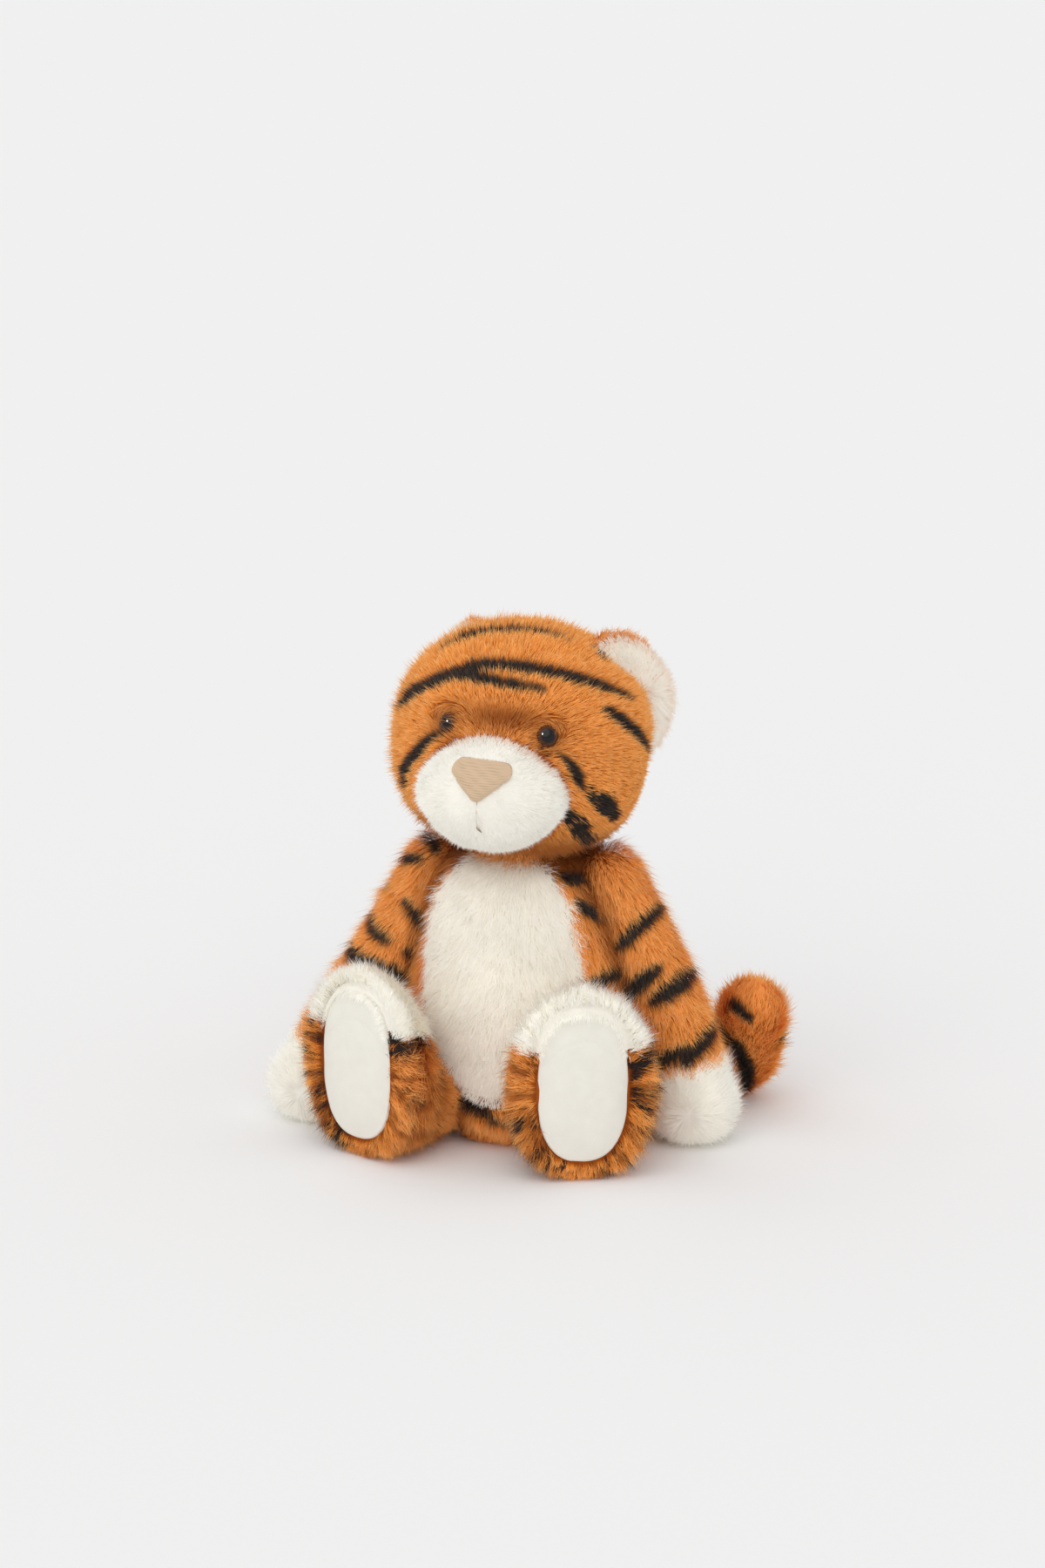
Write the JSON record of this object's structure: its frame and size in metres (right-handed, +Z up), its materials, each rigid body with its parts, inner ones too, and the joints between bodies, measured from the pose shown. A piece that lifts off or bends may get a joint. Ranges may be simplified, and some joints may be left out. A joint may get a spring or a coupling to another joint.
{
  "type": "plush tiger",
  "caption": "Seated plush tiger with striped orange fur, cream belly, white muzzle, paws and toes, smooth soles, bead eyes and floppy sewn limbs.",
  "frame": {"origin": "on the floor under the middle of the seat's flat face", "axes": "+Z up, the toy looks along -Y, its own left side is +X"},
  "size_m": [0.2505, 0.1895, 0.2639],
  "materials": {
    "orange_plush": "long striped pile",
    "cream_plush": "long pile",
    "white_plush": "long pile",
    "cream_velour": "smooth short velour",
    "beige_velour": "ribbed short velour",
    "dark_thread": "twisted thread",
    "dark_bead": "polished",
    "white_plastic": "moulded",
    "stuffing": "loose fibre",
    "pouch_cloth": "plain woven"
  },
  "bodies": {
    "torso": {"torso_cover": "orange_plush", "belly_panel": "cream_plush", "torso_filling": "stuffing", "pellet_pouch": "pouch_cloth"},
    "neck": {"neck_filling": "stuffing"},
    "head": {"head_cover": "orange_plush", "head_filling": "stuffing", "muzzle_cover": "white_plush", "nose_patch": "beige_velour", "mouth_stitch": "dark_thread", "left_eye": "dark_bead", "right_eye": "dark_bead", "left_eye_washer": "white_plastic", "right_eye_washer": "white_plastic", "left_ear_back": "orange_plush", "right_ear_back": "orange_plush", "left_ear_lining": "white_plush", "right_ear_lining": "white_plush"},
    "left_arm": {"left_arm_cover": "orange_plush", "left_paw_cover": "white_plush", "left_arm_filling": "stuffing"},
    "right_arm": {"right_arm_cover": "orange_plush", "right_paw_cover": "white_plush", "right_arm_filling": "stuffing"},
    "left_leg": {"left_leg_cover": "orange_plush", "left_toe_cover": "white_plush", "left_sole": "cream_velour", "left_leg_filling": "stuffing"},
    "right_leg": {"right_leg_cover": "orange_plush", "right_toe_cover": "white_plush", "right_sole": "cream_velour", "right_leg_filling": "stuffing"},
    "tail": {"tail_cover": "orange_plush", "tail_filling": "stuffing"}
  },
  "joints": [
    {"name": "head_turn", "type": "hinge", "parent": "torso", "child": "neck", "pos_m": [0, -0.009, 0.152], "axis": [0, 0, 1], "range_deg": [-40, 40]},
    {"name": "head_nod", "type": "hinge", "parent": "neck", "child": "head", "pos_m": [0, -0.009, 0.152], "axis": [1, 0, 0], "range_deg": [-10, 12]},
    {"name": "left_arm_lift", "type": "hinge", "parent": "torso", "child": "left_arm", "pos_m": [0.044, -0.008, 0.134], "axis": [-0.59, -0.7705, -0.2411], "range_deg": [0, 60]},
    {"name": "right_arm_lift", "type": "hinge", "parent": "torso", "child": "right_arm", "pos_m": [-0.044, -0.008, 0.134], "axis": [-0.589, 0.7801, 0.2108], "range_deg": [0, 60]},
    {"name": "left_leg_swing", "type": "hinge", "parent": "torso", "child": "left_leg", "pos_m": [0.043, -0.022, 0.0245], "axis": [-0.9925, 0.1219, 0], "range_deg": [-45, 6]},
    {"name": "right_leg_swing", "type": "hinge", "parent": "torso", "child": "right_leg", "pos_m": [-0.043, -0.022, 0.0245], "axis": [-0.9397, 0.342, 0], "range_deg": [-45, 6]},
    {"name": "tail_swing", "type": "hinge", "parent": "torso", "child": "tail", "pos_m": [0.008, 0.054, 0.024], "axis": [0, 0, 1], "range_deg": [-8, 105]}
  ]
}
